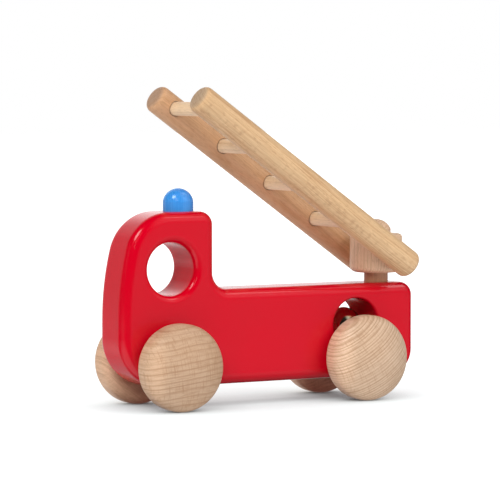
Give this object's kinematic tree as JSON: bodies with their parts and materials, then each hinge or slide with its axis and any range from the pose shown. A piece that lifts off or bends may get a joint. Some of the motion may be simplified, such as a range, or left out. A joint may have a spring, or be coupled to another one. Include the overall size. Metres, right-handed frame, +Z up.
{
  "type": "toy fire engine",
  "caption": "Wooden toy fire engine: a red painted board body on turned ball-like wheels, with a blue beacon, a bell over the rear axle and a ladder that swivels and tilts.",
  "frame": {"origin": "on the floor, under the middle of the whole toy's box", "axes": "+X towards the rear of the engine, +Y its right-hand side, +Z up"},
  "size_m": [0.158, 0.0686, 0.1468],
  "materials": {
    "red_paint": "wood under satin red paint",
    "blue_paint": "wood under satin blue paint",
    "beech": "turned beech, sanded and oiled",
    "beech_rail": "beech rod, sanded and oiled",
    "dowel": "pale dowel, sanded",
    "brass": "pressed brass, polished",
    "steel": "plain steel ball"
  },
  "bodies": {
    "chassis": {"body": "red_paint", "beacon": "blue_paint", "mast_peg": "beech", "mast_spacer": "beech"},
    "front_wheelset": {"front_axle": "beech", "front_left_wheel": "beech", "front_right_wheel": "beech"},
    "rear_wheelset": {"rear_axle": "beech", "rear_left_wheel": "beech", "rear_right_wheel": "beech"},
    "turntable": {"swivel_block": "beech"},
    "ladder": {"left_rail": "beech_rail", "right_rail": "beech_rail", "rung_1": "dowel", "rung_2": "dowel", "rung_3": "dowel", "rung_4": "dowel", "left_pivot_pin": "dowel", "right_pivot_pin": "dowel"},
    "bell": {"bell_upper_shell": "brass", "bell_lower_shell": "brass"},
    "pellet": {"bell_pellet": "steel"}
  },
  "joints": [
    {"name": "front_axle_spin", "type": "hinge", "parent": "chassis", "child": "front_wheelset", "pos_m": [-0.0542, 0, 0.02], "axis": [0, 1, 0], "continuous": true},
    {"name": "rear_axle_spin", "type": "hinge", "parent": "chassis", "child": "rear_wheelset", "pos_m": [0.0458, 0, 0.02], "axis": [0, 1, 0], "continuous": true},
    {"name": "ladder_swivel", "type": "hinge", "parent": "chassis", "child": "turntable", "pos_m": [0.0645, 0, 0.0664], "axis": [0, 0, 1], "continuous": true},
    {"name": "ladder_tilt", "type": "hinge", "parent": "turntable", "child": "ladder", "pos_m": [0.0645, 0, 0.0664], "axis": [0, 1, 0], "range_deg": [-22.1, 132.5]},
    {"name": "bell_roll", "type": "hinge", "parent": "chassis", "child": "bell", "pos_m": [0.0458, 0, 0.03343], "axis": [0, 1, 0], "continuous": true},
    {"name": "pellet_roll", "type": "hinge", "parent": "bell", "child": "pellet", "pos_m": [0.0458, 0, 0.03343], "axis": [0, 1, 0], "continuous": true}
  ]
}
